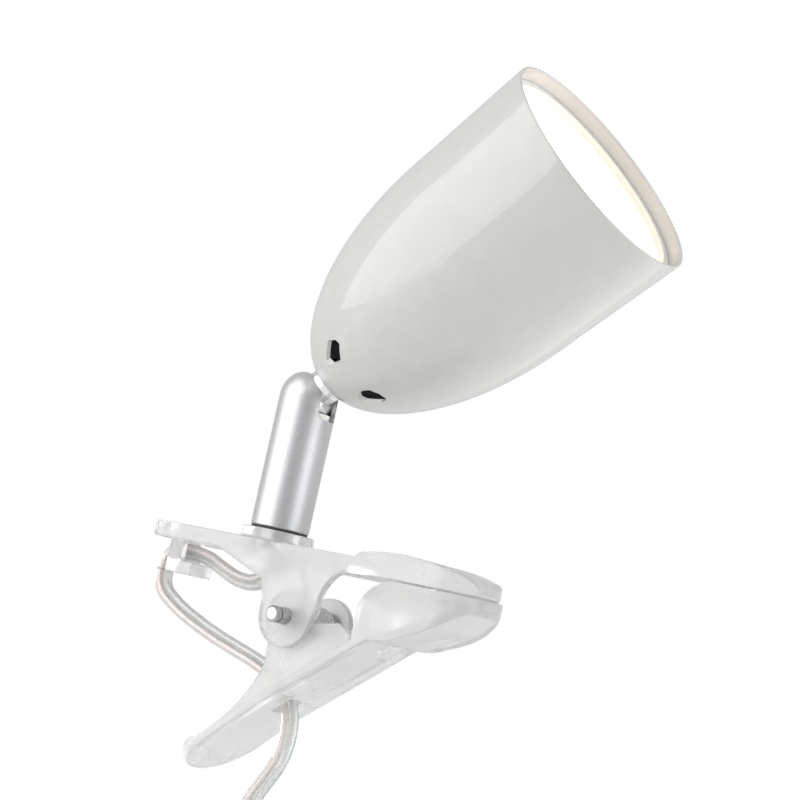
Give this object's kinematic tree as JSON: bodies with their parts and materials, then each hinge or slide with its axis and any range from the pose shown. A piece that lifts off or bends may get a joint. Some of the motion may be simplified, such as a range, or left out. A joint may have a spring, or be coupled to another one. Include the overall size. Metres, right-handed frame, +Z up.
{
  "type": "clip-on reading lamp",
  "caption": "Clip-on reading lamp: bullet shade on a swivelling tube arm, sprung translucent clip with cord hook, twin lead with inline switch and plug",
  "frame": {"origin": "middle of the closed jaws' grip plane, between the upper and the lower paddle", "axes": "+Z up along the arm tube, +X from the arm towards the jaw tips and the way the shade leans, +Y across the clip, away from the side with the hinge pin's free end"},
  "size_m": [0.1745, 0.0734, 0.4679],
  "materials": {
    "shade_paint": "gloss white enamel on spun steel",
    "opal": "opal acrylic, lit from behind",
    "ring_white": "white moulded ring",
    "reflector": "white reflector moulding",
    "board_white": "white-faced aluminium-core board",
    "led_yellow": "phosphor-coated emitters",
    "aluminium_cast": "die-cast, matt",
    "black_plastic": "black moulded pot",
    "board_green": "circuit board and components",
    "screw_steel": "pan-head screws",
    "knuckle_steel": "turned steel, satin",
    "collar_chrome": "bright chrome",
    "wire_insulation": "insulated wires",
    "tube_satin": "satin silver lacquer on drawn steel",
    "nylon": "natural nylon",
    "spring_steel": "spring wire",
    "brass_turned": "turned brass",
    "clear_plastic": "frosted clear moulding",
    "clear_cord": "clear twin lead",
    "tie_white": "nylon tie",
    "clear_hard": "clear moulded shell",
    "rocker_white": "white rocker",
    "plated_brass": "nickel-plated brass"
  },
  "bodies": {
    "clamp": {"nipple_tube": "screw_steel", "top_nut": "screw_steel", "clip_nut": "screw_steel", "swivel_washer": "black_plastic", "upper_jaw": "clear_plastic", "hinge_pin": "knuckle_steel", "clamp_spring": "spring_steel", "arm_lead": "clear_cord", "cord_hook": "clear_cord", "cord_loop": "clear_cord", "cord_drop": "clear_cord", "cord_link": "clear_cord", "cord_coil": "clear_cord", "cord_tail": "clear_cord", "cable_tie": "tie_white", "switch_front": "clear_hard", "switch_back": "clear_hard", "switch_screws": "screw_steel", "switch_contacts": "brass_turned", "plug_body": "clear_hard", "plug_pins": "plated_brass"},
    "lever": {"lower_jaw": "clear_plastic"},
    "arm": {"arm_tube": "tube_satin", "ball_seat": "nylon", "seat_spring": "spring_steel", "spring_plate": "screw_steel", "arm_bush": "brass_turned"},
    "head": {"shade_shell": "shade_paint", "diffuser_lens": "opal", "diffuser_ring": "ring_white", "reflector_cup": "reflector", "led_board": "board_white", "led_chips": "led_yellow", "heat_sink": "aluminium_cast", "driver_housing": "black_plastic", "driver_board": "board_green", "board_screws": "screw_steel", "swivel_ball": "knuckle_steel", "swivel_collar": "collar_chrome", "shade_nut": "screw_steel", "head_wires": "wire_insulation"},
    "rocker": {"switch_rocker": "rocker_white"}
  },
  "joints": [
    {"name": "clamp_open", "type": "hinge", "parent": "clamp", "child": "lever", "pos_m": [-0.0432, 0, -0.0168], "axis": [0, 1, 0], "range_deg": [0, 32], "stiffness_Nm_per_rad": 0.9, "springref_deg": -34.38, "deforming": ["clamp_spring", "cord_loop", "cord_drop"]},
    {"name": "arm_swivel", "type": "hinge", "parent": "clamp", "child": "arm", "pos_m": [-0.062, 0, 0.0086], "axis": [0, 0, 1], "range_deg": [-165, 165]},
    {"name": "head_tilt", "type": "hinge", "parent": "arm", "child": "head", "pos_m": [-0.062, 0, 0.0493], "axis": [0, 1, 0], "range_deg": [-39.8, 23.7]},
    {"name": "switch_rock", "type": "hinge", "parent": "clamp", "child": "rocker", "pos_m": [-0.0541, -0.0063, -0.1284], "axis": [1, 0, 0], "range_deg": [-14, 0]}
  ]
}
